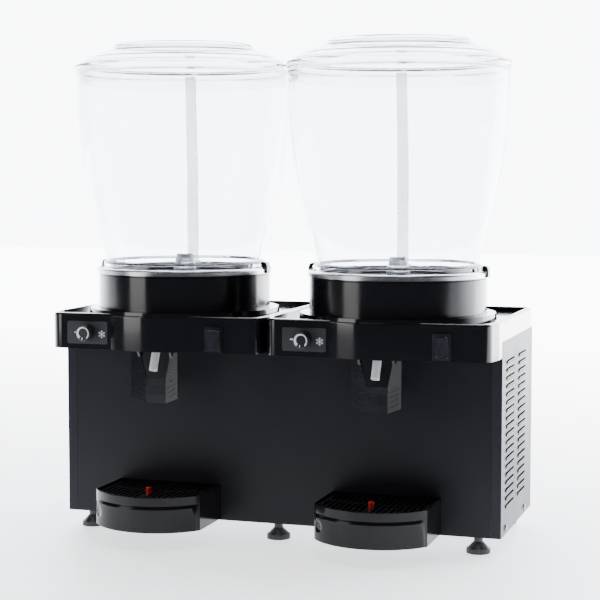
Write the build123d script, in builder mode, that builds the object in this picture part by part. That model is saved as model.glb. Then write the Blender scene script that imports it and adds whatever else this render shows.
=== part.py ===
"""Twin-bowl cold drink dispenser: a louvred steel cabinet, two moulded top covers with chilled
steel basins, clear bowls with lids and mixers, push-lever taps, drip trays and a cooling unit.

Millimetres, +Z up, +X to the user's right, the user stands on the -Y side.
The origin is the centre of the overall box on the surface that the feet stand on.
"""

from build123d import *
from math import cos, radians, sin
import os

# ---------------------------------------------------------------- driving dimensions
PITCH = 280.0            # distance between the two bowl axes, and the width of one module
WIDTH = 2 * PITCH        # cabinet width
FRONT = -48.5            # outer face of the front panel
BACK = 156.5             # rearmost face of the dispenser
FOOT_H = 20.0            # floor to the underside of the cabinet
PANEL_TOP = 254.0        # top edge of the side panels
SHEET = 1.0              # cabinet sheet steel
WALL = 2.5               # moulded plastic wall

AXIS_Y = FRONT + 53.0    # bowl, basin, mixer and drive axis
COVER_LOW = 235.0        # lower edge of the top cover's front skirt
COVER_TOP = 279.0        # rim of the top cover
COVER_FLOOR = 273.0      # sunk top surface of the top cover
BOX_FACE = FRONT - 55.0  # front faces of the control boxes
BOX_IN, BOX_OUT = 50.0, 139.8   # control boxes, measured from the module's centre
LOBE_R = 121.0           # rounded front of the cover, and the collar round the basin housing
COLLAR_TOP = 282.0

HOUSING_R = 108.5        # black ring housing
HOUSING_TOP = 329.6
BASIN_R = 96.0           # inside of the steel basin
BASIN_FLOOR = 285.0
RIM_R = 110.5            # rolled rim of the basin
RIM_LOW, RIM_TOP = 326.0, 333.0
SEAT_R, SEAT_Z = 104.6, 323.0   # step that the bowl's foot stands in

BOWL_FOOT_R, BOWL_WALL = 104.2, 2.6
BOWL_SHAPE = ((98.8, 341.5), (105.4, 368.0), (117.5, 417.0), (128.7, 478.5), (133.5, 540.0), (134.2, 578.0))
LID_R, LID_TOP_R, LID_TOP_Z = 136.2, 86.5, 611.0

TAP_Y = FRONT - 38.0     # valve axis
SPOUT_END = (FRONT - 52.0, 211.0)       # y and z of the spout's mouth
LEVER_Y = FRONT - 44.0   # middle face of the push lever
PIVOT_Y, PIVOT_Z = FRONT - 54.0, 252.0  # the lever's hinge
TRAY_HALF, TRAY_TOP, TRAY_LOW = 68.0, 65.0, 22.0
TRAY_SIDE, TRAY_REACH = 72.0, 108.0     # straight sides, and how far the front arc stands out

KNOB_X, KNOB_Z = -86.5, 255.0
SWITCH_X, SWITCH_Z = 80.0, 251.5
SIDE_SCREWS = [(FRONT + 30.0, 28.0), (FRONT + 156.0, 28.0)]   # y and z
FOOT_X = (-251.0, 0.0, 251.0)
FOOT_Y = (FRONT + 11.0, BACK - 21.0)
SIDES = {"left": -PITCH / 2, "right": PITCH / 2}

os.makedirs("parts", exist_ok=True)


# ---------------------------------------------------------------- saving and shared profiles
def save(piece, name):
    """Writes one node."""
    piece.label = name
    export_step(piece, f"parts/{name}.step")


def save_each(piece, name):
    """Writes a left and a right node from a piece made on the module's centre line."""
    for side, x in SIDES.items():
        save(piece.moved(Location((x, 0, 0))), f"{name}_{side}")


def save_pair(piece, name):
    """Writes one node that holds the left and the right piece as separate solids."""
    both = [s for x in SIDES.values() for s in piece.moved(Location((x, 0, 0))).solids()]
    save(Compound(both), name)


def round_plane():
    """The XZ plane through the bowl axis, for turned profiles."""
    return Plane(origin=(0, AXIS_Y, 0), x_dir=(1, 0, 0), z_dir=(0, -1, 0))


BOWL_AXIS = Axis((0, AXIS_Y, 0), (0, 0, 1))


def turned(points):
    """A solid of revolution about the bowl axis, from (radius, height) points."""
    with BuildPart() as made:
        with BuildSketch(round_plane()):
            with BuildLine():
                Polyline(*points, close=True)
            make_face()
        revolve(axis=BOWL_AXIS)
    return made.part


def tube_along(points, radius, bends):
    """A round tube along straight runs joined by arcs."""
    with BuildPart() as made:
        with BuildLine() as path:
            FilletPolyline(*points, radius=bends)
        with BuildSketch(Plane(origin=path.line @ 0, z_dir=path.line % 0)):
            Circle(radius)
        sweep()
    return made.part


# ---------------------------------------------------------------- cabinet
PAN_Y = ((FRONT + BACK - 10) / 2, BACK - 10 - FRONT - 2 * SHEET - 0.4)
NUT_R, NUT_H, STUD_R = 9.0, 9.0, 4.0

with BuildPart() as base_pan:
    with BuildSketch(Plane.XY.offset(FOOT_H)):
        with Locations((0, PAN_Y[0])):
            Rectangle(WIDTH - 2 * SHEET - 0.6, PAN_Y[1])
    extrude(amount=18)
    offset(amount=-1.5, openings=base_pan.faces().sort_by(Axis.Z)[-1])
    with BuildSketch(Plane.XY.offset(FOOT_H)):
        with Locations(*[(x, y) for x in FOOT_X for y in FOOT_Y]):
            Circle(NUT_R)
    extrude(amount=NUT_H)
    with BuildSketch(Plane.XY.offset(FOOT_H)):
        with Locations(*[(x, y) for x in FOOT_X for y in FOOT_Y]):
            Circle(STUD_R + 0.05)
    extrude(amount=NUT_H + 1, mode=Mode.SUBTRACT)
    with BuildSketch(Plane.YZ.offset(-WIDTH / 2)):
        with Locations(*SIDE_SCREWS):
            Circle(2.1)
    extrude(amount=WIDTH, mode=Mode.SUBTRACT)
save(base_pan.part, "base_pan")

LOUVRE_ROWS, LOUVRE_LOW, LOUVRE_PITCH = 19, 54.5, 9.64
LOUVRE_COLUMNS = ((FRONT + 53.5, 58.0), (FRONT + 132.5, 55.0))
FLANGE = 12.0


def side_panel():
    """The right-hand side panel: a sheet folded onto the front and the back, with louvres."""
    x = WIDTH / 2
    with BuildPart() as panel:
        with BuildSketch(Plane.XY.offset(FOOT_H)):
            with Locations((x, FRONT)):
                Rectangle(SHEET, BACK - FRONT, align=(Align.MAX, Align.MIN))
                Rectangle(FLANGE, SHEET, align=(Align.MAX, Align.MIN))
            with Locations((x, BACK)):
                Rectangle(FLANGE, SHEET, align=(Align.MAX, Align.MAX))
        extrude(amount=PANEL_TOP - FOOT_H)
        for column, length in LOUVRE_COLUMNS:
            rows = [LOUVRE_LOW + row * LOUVRE_PITCH for row in range(LOUVRE_ROWS)]
            with BuildSketch(Plane.YZ.offset(x - 2 * SHEET)):
                with Locations(*[(column, z) for z in rows]):
                    SlotOverall(length - 4, 3.0)
            extrude(amount=4 * SHEET, mode=Mode.SUBTRACT)
            with BuildSketch(Plane.XZ.offset(-column - length / 2 + 3)):
                for z in rows:
                    with BuildLine():
                        Polyline(
                            (x - 0.5, z - 1.5), (x - 0.5, z - 4.4), (x + 0.1, z - 4.2),
                            (x + 1.6, z - 0.4), (x + 1.6, z + 0.3), (x + 1.0, z),
                            (x, z - 1.6), close=True,
                        )
                    make_face()
            extrude(amount=length - 6)
        with BuildSketch(Plane.YZ.offset(x - 2 * SHEET)):
            with Locations(*SIDE_SCREWS):
                Circle(2.1)
        extrude(amount=4 * SHEET, mode=Mode.SUBTRACT)
    return panel.part


right_side = side_panel()
save(right_side, "side_panel_right")
save(right_side.mirror(Plane.YZ), "side_panel_left")

PANEL_HALF = WIDTH / 2 - FLANGE - 0.3
TONGUE_X, TONGUE_Z = 45.0, 50.0
with BuildPart() as front_panel:
    with BuildSketch(Plane.XZ.offset(-FRONT)):
        with Locations((0, FOOT_H)):
            Rectangle(2 * PANEL_HALF, 228, align=(Align.CENTER, Align.MIN))
        slots = [(x + s * TONGUE_X, TONGUE_Z) for x in SIDES.values() for s in (-1, 1)]
        with Locations(*slots):
            Rectangle(15, 6, mode=Mode.SUBTRACT)
    extrude(amount=-SHEET)
save(front_panel.part, "front_panel")

REAR_Y = BACK - 10.0     # the rear panel is set in, so that the inlet doesn't stand out
GLAND = (-215.0, 60.0)
REAR_SCREWS = [(x, z) for x in (-255.0, 255.0) for z in (40.0, 235.0)]
VENTS = [(x, 110 + 12 * row) for x in (60, 130, 200) for row in range(9)]
with BuildPart() as rear_panel:
    with BuildSketch(Plane.XZ.offset(-REAR_Y)):
        with Locations((0, FOOT_H)):
            Rectangle(WIDTH - 2 * SHEET - 0.6, PANEL_TOP - FOOT_H, align=(Align.CENTER, Align.MIN))
        with Locations(*VENTS):
            SlotOverall(56, 5, mode=Mode.SUBTRACT)
        with Locations(GLAND):
            Circle(8.1, mode=Mode.SUBTRACT)
        with Locations(*REAR_SCREWS):
            Circle(2.1, mode=Mode.SUBTRACT)
    extrude(amount=-SHEET)
save(rear_panel.part, "rear_panel")

with BuildPart() as gland:
    with BuildSketch(Plane.XZ.offset(-REAR_Y - SHEET)):
        with Locations(GLAND):
            Circle(11)
            Circle(4, mode=Mode.SUBTRACT)
    extrude(amount=-9)
    with BuildSketch(Plane.XZ.offset(-REAR_Y)):
        with Locations(GLAND):
            Circle(8)
            Circle(4, mode=Mode.SUBTRACT)
    extrude(amount=-SHEET)
    with BuildSketch(Plane.XZ.offset(-REAR_Y)):
        with Locations(GLAND):
            RegularPolygon(11, 6)
            Circle(4, mode=Mode.SUBTRACT)
    extrude(amount=5)
save(gland.part, "cable_gland")

# ---------------------------------------------------------------- top covers
def cover_plan():
    """Plan of one top cover: the deck, two control boxes and the round front."""
    with BuildSketch() as plan:
        for side in (-1, 1):
            with BuildLine():
                Polyline(
                    (0, BACK), (side * BOX_OUT, BACK), (side * BOX_OUT, BOX_FACE + 34),
                    (side * (BOX_OUT - 6), BOX_FACE), (side * BOX_IN, BOX_FACE),
                    (side * BOX_IN, FRONT - 3), (0, FRONT - 3), close=True,
                )
            make_face()
        corners = plan.vertices().filter_by_position(Axis.Y, BOX_FACE - 1, BOX_FACE + 1)
        fillet([v for v in corners if abs(v.X) > BOX_IN + 1], 15)
        rear = plan.vertices().filter_by_position(Axis.Y, BACK - 1, BACK + 1)
        fillet([v for v in rear if abs(v.X) > BOX_IN], 10)
        with Locations((0, AXIS_Y)):
            Circle(LOBE_R)
    return plan.sketch


cover_face = cover_plan()
cover_hollow = offset(cover_face, -WALL)
cover_deck = offset(cover_face, -5.0)
DIAL_PLATE = (54.0, 28.0, 0.8)
with BuildPart() as cover:
    with BuildSketch(Plane.XY.offset(COVER_LOW)):
        add(cover_face)
    extrude(amount=COVER_TOP - COVER_LOW)
    fillet(cover.edges().group_by(Axis.Z)[-1], 3)
    with BuildSketch(Plane.XY.offset(COVER_LOW)):
        add(cover_hollow)
    extrude(amount=COVER_FLOOR - WALL - COVER_LOW, mode=Mode.SUBTRACT)
    with BuildSketch(Plane.XY.offset(COVER_LOW)):
        with Locations((0, FRONT - 0.3)):
            Rectangle(WIDTH, 2 * WIDTH, align=(Align.CENTER, Align.MIN))
    extrude(amount=PANEL_TOP - COVER_LOW, mode=Mode.SUBTRACT)
    with BuildSketch(Plane.XY.offset(COVER_FLOOR)):
        add(cover_deck)
    extrude(amount=COVER_TOP, mode=Mode.SUBTRACT)
    with BuildSketch(Plane.XY.offset(COVER_FLOOR - WALL)):
        with Locations((0, AXIS_Y)):
            Circle(LOBE_R)
    extrude(amount=4)
    with BuildSketch(Plane.XY.offset(COVER_FLOOR - WALL + 4)):
        with Locations((0, AXIS_Y)):
            Circle(LOBE_R)
    extrude(amount=COLLAR_TOP - COVER_FLOOR + WALL - 4, taper=12)
    with BuildSketch(Plane.XY.offset(COVER_FLOOR - WALL - 1)):
        with Locations((0, AXIS_Y)):
            Circle(HOUSING_R + 0.6)
    extrude(amount=30, mode=Mode.SUBTRACT)
    with BuildSketch(Plane.XZ.offset(-BOX_FACE)):
        with Locations((KNOB_X, KNOB_Z)):
            Rectangle(DIAL_PLATE[0] + 0.6, DIAL_PLATE[1] + 0.6)
    extrude(amount=-DIAL_PLATE[2] - 0.1, mode=Mode.SUBTRACT)
    with BuildSketch(Plane.XZ.offset(-BOX_FACE)):
        with Locations((KNOB_X, KNOB_Z)):
            Circle(5)
        with Locations((SWITCH_X, SWITCH_Z)):
            Rectangle(19.6, 28.0)
    extrude(amount=-WALL - 1, mode=Mode.SUBTRACT)
save_each(cover.part, "top_cover")

with BuildPart() as dial_plate:
    with BuildSketch(Plane.XZ.offset(-BOX_FACE - 0.1)):
        with Locations((KNOB_X, KNOB_Z)):
            RectangleRounded(DIAL_PLATE[0], DIAL_PLATE[1], 2)
            Circle(4, mode=Mode.SUBTRACT)
    extrude(amount=-DIAL_PLATE[2])
save_pair(dial_plate.part, "dial_plates")

# ---------------------------------------------------------------- controls
SHAFT_R, KNOB_R, KNOB_DEPTH = 3.0, 10.0, 12.4
with BuildPart() as thermostat:
    with BuildSketch(Plane.XZ.offset(-BOX_FACE - WALL - 0.3)):
        with Locations((KNOB_X, KNOB_Z)):
            RectangleRounded(34, 23, 3)
    extrude(amount=-24)
    with BuildSketch(Plane.XZ.offset(-BOX_FACE + 9)):
        with Locations((KNOB_X, KNOB_Z)):
            Circle(SHAFT_R)
    extrude(amount=-9 - WALL - 1)
save_pair(thermostat.part, "thermostats")

with BuildPart() as knob:
    with BuildSketch(Plane.XZ.offset(-BOX_FACE + 0.5)):
        with Locations((KNOB_X, KNOB_Z)):
            Circle(KNOB_R)
    extrude(amount=KNOB_DEPTH, taper=2)
    fillet(knob.edges().sort_by(Axis.Y)[0], 1.2)
    with BuildSketch(Plane.XZ.offset(-BOX_FACE + 0.5)):
        with Locations((KNOB_X, KNOB_Z)):
            Circle(SHAFT_R + 0.05)
    extrude(amount=9, mode=Mode.SUBTRACT)
save_each(knob.part, "knob")

BEZEL = (22.0, 31.0, 2.6)
ROCKER = (14.0, 20.0)
with BuildPart() as switch:
    with BuildSketch(Plane.XZ.offset(-BOX_FACE)):
        with Locations((SWITCH_X, SWITCH_Z)):
            RectangleRounded(BEZEL[0], BEZEL[1], 2)
    extrude(amount=BEZEL[2])
    with BuildSketch(Plane.XZ.offset(-BOX_FACE)):
        with Locations((SWITCH_X, SWITCH_Z)):
            Rectangle(19.0, 27.4)
    extrude(amount=-22)
    with BuildSketch(Plane.XZ.offset(-BOX_FACE + BEZEL[2])):
        with Locations((SWITCH_X, SWITCH_Z)):
            Rectangle(ROCKER[0] + 1, ROCKER[1] + 2)
    extrude(amount=-11, mode=Mode.SUBTRACT)
    with BuildSketch(Plane.YZ.offset(SWITCH_X)):
        with Locations((BOX_FACE + 2, SWITCH_Z)):
            Circle(1.5)
    extrude(amount=9, both=True)
save_pair(switch.part, "switch_housings")

with BuildPart() as rocker:
    with BuildSketch(Plane.YZ.offset(SWITCH_X)):
        with BuildLine():
            Polyline(
                (BOX_FACE - 3.4, SWITCH_Z + ROCKER[1] / 2), (BOX_FACE - 1.6, SWITCH_Z),
                (BOX_FACE - 3.4, SWITCH_Z - ROCKER[1] / 2), (BOX_FACE + 1, SWITCH_Z - ROCKER[1] / 2),
                (BOX_FACE + 5, SWITCH_Z - 4), (BOX_FACE + 5, SWITCH_Z + 4),
                (BOX_FACE + 1, SWITCH_Z + ROCKER[1] / 2), close=True,
            )
        make_face()
        with Locations((BOX_FACE + 2, SWITCH_Z)):
            Circle(1.55, mode=Mode.SUBTRACT)
    extrude(amount=ROCKER[0] / 2, both=True)
ROCKER_AXIS = Axis((0, BOX_FACE + 2, SWITCH_Z), (1, 0, 0))
save_each(rocker.part.rotate(ROCKER_AXIS, -7), "rocker")

with BuildPart() as boot:
    with BuildSketch(Plane.XZ.offset(-BOX_FACE + BEZEL[2])):
        with Locations((SWITCH_X, SWITCH_Z)):
            RectangleRounded(ROCKER[0] + 5, ROCKER[1] + 6, 2.4)
    extrude(amount=4.6, taper=8)
    fillet(boot.edges().group_by(Axis.Y)[0], 1.2)
    with BuildSketch(Plane.XZ.offset(-BOX_FACE + BEZEL[2])):
        with Locations((SWITCH_X, SWITCH_Z)):
            RectangleRounded(ROCKER[0] + 3, ROCKER[1] + 4, 1.6)
    extrude(amount=3.8, taper=8, mode=Mode.SUBTRACT)
save_pair(boot.part, "switch_boots")

# ---------------------------------------------------------------- cold basins
save_each(turned([
    (HOUSING_R, 270.2), (HOUSING_R, HOUSING_TOP - 6), (HOUSING_R - 0.5, HOUSING_TOP - 5.4),
    (HOUSING_R - 0.5, HOUSING_TOP), (HOUSING_R - WALL, HOUSING_TOP), (HOUSING_R - WALL, 267.6),
    (HOUSING_R + 3.5, 267.6), (HOUSING_R + 3.5, 270.2),
]), "ring_housing")

POST_R, POST_TOP, STEEL = 11.0, 330.0, 1.0
with BuildPart() as basin:
    with BuildSketch(round_plane()):
        with BuildLine():
            wall = Polyline(
                (0, POST_TOP), (POST_R, POST_TOP), (POST_R, BASIN_FLOOR), (BASIN_R, BASIN_FLOOR),
                (BASIN_R, SEAT_Z), (SEAT_R, SEAT_Z), (SEAT_R, RIM_TOP - 2.95),
            )
            bead = ThreePointArc(wall @ 1, ((SEAT_R + RIM_R) / 2, RIM_TOP), (RIM_R, RIM_TOP - 2.95))
            inner = Polyline(
                bead @ 1, (RIM_R, RIM_LOW), (RIM_R - STEEL, RIM_LOW), (RIM_R - STEEL, RIM_TOP - 2.95),
            )
            under = ThreePointArc(
                inner @ 1, ((SEAT_R + RIM_R) / 2, RIM_TOP - STEEL), (SEAT_R + STEEL, RIM_TOP - 2.95),
            )
            Polyline(
                under @ 1, (SEAT_R + STEEL, SEAT_Z - STEEL), (BASIN_R + STEEL, SEAT_Z - STEEL),
                (BASIN_R + STEEL, BASIN_FLOOR - STEEL), (POST_R - STEEL, BASIN_FLOOR - STEEL),
                (POST_R - STEEL, POST_TOP - STEEL), (0, POST_TOP - STEEL), (0, POST_TOP),
            )
        make_face()
    revolve(axis=BOWL_AXIS)
    with BuildSketch(Plane.XY.offset(BASIN_FLOOR - 2)):
        with Locations((0, TAP_Y)):
            Circle(4.0)
    extrude(amount=3, mode=Mode.SUBTRACT)
save_each(basin.part, "basin")

with BuildPart() as coil:
    for z in (291.0, 299.0, 307.0, 315.0):
        with BuildSketch(round_plane()):
            with Locations((BASIN_R + 4.2, z)):
                Circle(2.9)
        revolve(axis=BOWL_AXIS)
save_pair(coil.part, "evaporator_coils")
save_pair(turned([(103.5, 286), (105.6, 286), (105.6, 321), (103.5, 321)]), "basin_insulation")
SEAL_IN, SEAL_OUT, SEAL_TOP = 97.4, 104.0, SEAT_Z + 2.6
save_pair(
    turned([(SEAL_IN, SEAT_Z), (SEAL_OUT, SEAT_Z), (SEAL_OUT, SEAL_TOP), (SEAL_IN, SEAL_TOP)]),
    "bowl_seals",
)

with BuildPart() as clips:
    with BuildSketch(Plane.XZ.offset(-AXIS_Y - 6)):
        for side in (-1, 1):
            with BuildLine():
                Polyline(
                    (side * 105.2, RIM_TOP + 0.1), (side * 105.2, RIM_TOP + 5.5), (side * 107, RIM_TOP + 7.5),
                    (side * 111.5, RIM_TOP + 6), (side * 113, RIM_TOP + 2), (side * 113, RIM_LOW),
                    (side * 110.8, RIM_LOW), (side * 110.8, RIM_TOP + 0.1), close=True,
                )
            make_face()
    extrude(amount=12)
save_pair(clips.part, "bowl_clips")

with BuildPart() as gear_motor:
    with BuildSketch(Plane.XY.offset(258)):
        with Locations((0, AXIS_Y)):
            Circle(36)
    extrude(amount=21)
    with BuildSketch(Plane.XY.offset(222)):
        with Locations((0, AXIS_Y + 8)):
            Circle(27)
    extrude(amount=36)
    with BuildSketch(Plane.XY.offset(279)):
        with Locations((0, AXIS_Y)):
            with PolarLocations(28, 4, start_angle=45):
                Circle(4)
    extrude(amount=BASIN_FLOOR - STEEL - 279)
    with BuildSketch(Plane.XY.offset(264)):
        with Locations((0, AXIS_Y)):
            Circle(4.05)
    extrude(amount=20, mode=Mode.SUBTRACT)
save_pair(gear_motor.part, "gear_motors")

save_each(turned([
    (0, 265), (4, 265), (4, 294), (9.6, 294), (9.6, 327), (0, 327),
]), "drive_magnet")

# ---------------------------------------------------------------- bowls, lids and mixers
with BuildPart() as bowl:
    with BuildSketch(round_plane()):
        with BuildLine():
            foot = Polyline(
                BOWL_SHAPE[-1], (BOWL_SHAPE[-1][0] - BOWL_WALL, BOWL_SHAPE[-1][1]),
            )
            inside = Spline(*[(r - BOWL_WALL, z) for r, z in reversed(BOWL_SHAPE)])
            Polyline(
                inside @ 1, (BOWL_SHAPE[0][0] - BOWL_WALL, SEAT_Z + 2.7), (BOWL_FOOT_R, SEAT_Z + 2.7),
                (BOWL_FOOT_R, 331), (101.5, 333), (101.5, 338), BOWL_SHAPE[0],
            )
            Spline(*BOWL_SHAPE)
        make_face()
    revolve(axis=BOWL_AXIS)
save_each(bowl.part, "bowl")

SKIRT_R = BOWL_SHAPE[-1][0] - BOWL_WALL - 0.5
BOWL_TOP = BOWL_SHAPE[-1][1]
save_each(turned([
    (0, LID_TOP_Z), (LID_TOP_R - 0.8, LID_TOP_Z), (LID_TOP_R, LID_TOP_Z - 0.8), (LID_TOP_R, 605.6),
    (104, 601.2), (121, 594.0), (131.5, 586.6), (LID_R - 0.6, 585.0), (LID_R, 584.0),
    (LID_R, BOWL_TOP + 0.3), (SKIRT_R, BOWL_TOP + 0.3), (SKIRT_R - 0.8, BOWL_TOP - 17),
    (SKIRT_R - 3, BOWL_TOP - 17), (SKIRT_R - 2.2, 582.6), (120, 591.4), (103, 598.8),
    (LID_TOP_R - 2.4, 603.4), (LID_TOP_R - 2.4, LID_TOP_Z - 2.4), (0, LID_TOP_Z - 2.4),
]), "lid")

HUB_R, BLADE_Y, BLADE_X = 14.5, AXIS_Y + 37.0, -3.5
with BuildPart() as stirrer:
    with BuildSketch(Plane.XY.offset(BASIN_FLOOR + 3)):
        with Locations((0, AXIS_Y)):
            Circle(HUB_R)
            Circle(POST_R + 0.4, mode=Mode.SUBTRACT)
    extrude(amount=POST_TOP + 1 - BASIN_FLOOR - 3)
    with BuildSketch(Plane.XY.offset(POST_TOP + 1)):
        with Locations((0, AXIS_Y)):
            Circle(HUB_R)
    extrude(amount=18, taper=14)
    with BuildSketch(Plane.XY.offset(POST_TOP + 3)):
        with Locations((0, AXIS_Y)):
            Rectangle(14, 39, align=(Align.CENTER, Align.MIN))
    extrude(amount=6)
    with BuildSketch(Plane.XZ.offset(-BLADE_Y + 1.5)):
        with BuildLine():
            Polyline(
                (BLADE_X - 7, POST_TOP + 3), (BLADE_X - 7, 457), (BLADE_X - 9, 575), (BLADE_X + 4, 575),
                (BLADE_X + 7, 457), (BLADE_X + 7, POST_TOP + 3), close=True,
            )
        make_face()
    extrude(amount=-3)
    with BuildSketch(Plane.XY.offset(BASIN_FLOOR + 3)):
        with Locations((0, AXIS_Y)):
            Rectangle(6, 2 * (BASIN_R - 12))
            Circle(HUB_R - 1, mode=Mode.SUBTRACT)
    extrude(amount=12)
    with BuildSketch(Plane.XY.offset(BASIN_FLOOR + 3)):
        with Locations((0, AXIS_Y)):
            Circle(POST_R + 0.4)
    extrude(amount=POST_TOP + 1 - BASIN_FLOOR - 3, mode=Mode.SUBTRACT)
save_each(stirrer.part, "stirrer")

# ---------------------------------------------------------------- taps
BRIDGE_Z, EAR_IN, EAR_OUT = 262.0, 24.0, 27.0
VALVE_LOW, SPOUT_R = 240.0, 5.2
spout_run = Vector(0, SPOUT_END[0] - TAP_Y, SPOUT_END[1] - VALVE_LOW - 4)
spout_plane = Plane(origin=(0, TAP_Y, VALVE_LOW + 4), x_dir=(1, 0, 0), z_dir=spout_run.normalized())
with BuildPart() as tap:
    with BuildSketch(spout_plane):
        Circle(SPOUT_R)
    extrude(amount=spout_run.length)
    with BuildSketch(Plane.XY.offset(VALVE_LOW)):
        with Locations((0, TAP_Y)):
            Circle(8)
    extrude(amount=BASIN_FLOOR - STEEL - VALVE_LOW)
    with BuildSketch(Plane.XY.offset(BRIDGE_Z)):
        with Locations((0, PIVOT_Y - 6)):
            Rectangle(2 * EAR_OUT, 30, align=(Align.CENTER, Align.MIN))
    extrude(amount=4)
    with BuildSketch(Plane.YZ.offset(EAR_IN)):
        with Locations((PIVOT_Y, PIVOT_Z - 6)):
            Rectangle(10, BRIDGE_Z - PIVOT_Z + 6, align=(Align.CENTER, Align.MIN))
    extrude(amount=EAR_OUT - EAR_IN)
    with BuildSketch(Plane.YZ.offset(-EAR_OUT)):
        with Locations((PIVOT_Y, PIVOT_Z - 6)):
            Rectangle(10, BRIDGE_Z - PIVOT_Z + 6, align=(Align.CENTER, Align.MIN))
    extrude(amount=EAR_OUT - EAR_IN)
    with BuildSketch(Plane.XY.offset(VALVE_LOW + 4)):
        with Locations((0, TAP_Y)):
            Circle(4.0)
    extrude(amount=BASIN_FLOOR - VALVE_LOW, mode=Mode.SUBTRACT)
    with BuildSketch(spout_plane):
        Circle(SPOUT_R - 1.4)
    extrude(amount=spout_run.length + 1, mode=Mode.SUBTRACT)
    with BuildSketch(Plane.XZ.offset(-TAP_Y + 12)):
        with Locations((0, 247)):
            Rectangle(7.6, 14.5, align=(Align.CENTER, Align.MIN))
    extrude(amount=-16, mode=Mode.SUBTRACT)
    with BuildSketch(Plane.YZ.offset(-EAR_OUT - 1)):
        with Locations((PIVOT_Y, PIVOT_Z)):
            Circle(2.0)
    extrude(amount=2 * EAR_OUT + 2, mode=Mode.SUBTRACT)
save_pair(tap.part, "tap_bodies")

with BuildPart() as pin:
    with BuildSketch(Plane.YZ.offset(-EAR_OUT - 1)):
        with Locations((PIVOT_Y, PIVOT_Z)):
            Circle(1.98)
    extrude(amount=2 * EAR_OUT + 2)
save_pair(pin.part, "lever_pins")

STEM_LOW = 256.0
with BuildPart() as plunger:
    with BuildSketch(Plane.XY.offset(STEM_LOW)):
        with Locations((0, TAP_Y)):
            Circle(3.95)
            with PolarLocations(4.6, 4, start_angle=45):
                Circle(1.7, mode=Mode.SUBTRACT)
    extrude(amount=BASIN_FLOOR + 0.3 - STEM_LOW)
    with BuildSketch(Plane.XY.offset(BASIN_FLOOR + 0.1)):
        with Locations((0, TAP_Y)):
            Circle(4.8)
    extrude(amount=2.6, taper=15)
save_each(plunger.part, "tap_plunger")

FACET = (13.0, 30.6, 5.0)       # half width of the middle face, half width overall, forward sweep
LEVER_WALL = 2.6
LEVER_LOW, CUT_Z, ARM_TOP = 170.0, 201.0, 240.0
with BuildPart() as lever:
    with BuildSketch(Plane.XY.offset(LEVER_LOW)):
        with BuildLine():
            Polyline(
                (-FACET[1], LEVER_Y - FACET[2]), (-FACET[0], LEVER_Y), (FACET[0], LEVER_Y),
                (FACET[1], LEVER_Y - FACET[2]), (FACET[1], LEVER_Y - FACET[2] + LEVER_WALL),
                (FACET[0], LEVER_Y + LEVER_WALL), (-FACET[0], LEVER_Y + LEVER_WALL),
                (-FACET[1], LEVER_Y - FACET[2] + LEVER_WALL), close=True,
            )
        make_face()
    extrude(amount=ARM_TOP - LEVER_LOW)
    with BuildSketch(Plane.XZ.offset(-LEVER_Y + 10)):
        for side in (-1, 1):
            with BuildLine():
                Polyline(
                    (side * FACET[0], LEVER_LOW - 1), (side * FACET[0], LEVER_LOW),
                    (side * (FACET[1] + 1), LEVER_LOW + 7.5), (side * (FACET[1] + 1), LEVER_LOW - 1),
                    close=True,
                )
            make_face()
    extrude(amount=-20, mode=Mode.SUBTRACT)
    with BuildSketch(Plane.XZ.offset(-LEVER_Y + 10)):
        with BuildLine():
            Polyline((-13, CUT_Z), (-22, ARM_TOP + 1), (22, ARM_TOP + 1), (13, CUT_Z), close=True)
        make_face()
    extrude(amount=-20, mode=Mode.SUBTRACT)
    for side in (-1, 1):
        with BuildSketch(Plane.YZ.offset(side * 21)):
            with BuildLine():
                Polyline(
                    (PIVOT_Y - 3.5, PIVOT_Z), (PIVOT_Y - 2, PIVOT_Z - 8), (LEVER_Y - 2, 226),
                    (LEVER_Y + 6, 226), (LEVER_Y + 6, ARM_TOP), (PIVOT_Y + 3.5, PIVOT_Z + 2),
                    close=True,
                )
            make_face()
        extrude(amount=1.5, both=True)
    with BuildSketch(Plane.YZ.offset(-EAR_IN + 0.4)):
        with Locations((PIVOT_Y, PIVOT_Z)):
            Circle(4)
    extrude(amount=2 * EAR_IN - 0.8)
    with BuildSketch(Plane.XY.offset(PIVOT_Z)):
        with Locations((0, PIVOT_Y)):
            Rectangle(5, TAP_Y + 2 - PIVOT_Y, align=(Align.CENTER, Align.MIN))
    extrude(amount=STEM_LOW - 0.7 - PIVOT_Z)
    with BuildSketch(Plane.YZ.offset(-EAR_IN)):
        with Locations((PIVOT_Y, PIVOT_Z)):
            Circle(2.05)
    extrude(amount=2 * EAR_IN, mode=Mode.SUBTRACT)
save_each(lever.part, "tap_lever")

# ---------------------------------------------------------------- drip trays
def tray_plan(inset):
    """Plan of the drip tray: straight sides and a bowed front, inset from the outer faces."""
    with BuildSketch() as plan:
        with BuildLine():
            half = TRAY_HALF - inset
            corner = (half, FRONT - TRAY_SIDE)
            rear = FRONT - 0.4 - inset
            side = Polyline((-half, corner[1]), (-half, rear), (half, rear), corner)
            ThreePointArc(side @ 1, (0, FRONT - TRAY_REACH + inset), side @ 0)
        make_face()
    return plan.sketch


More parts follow.
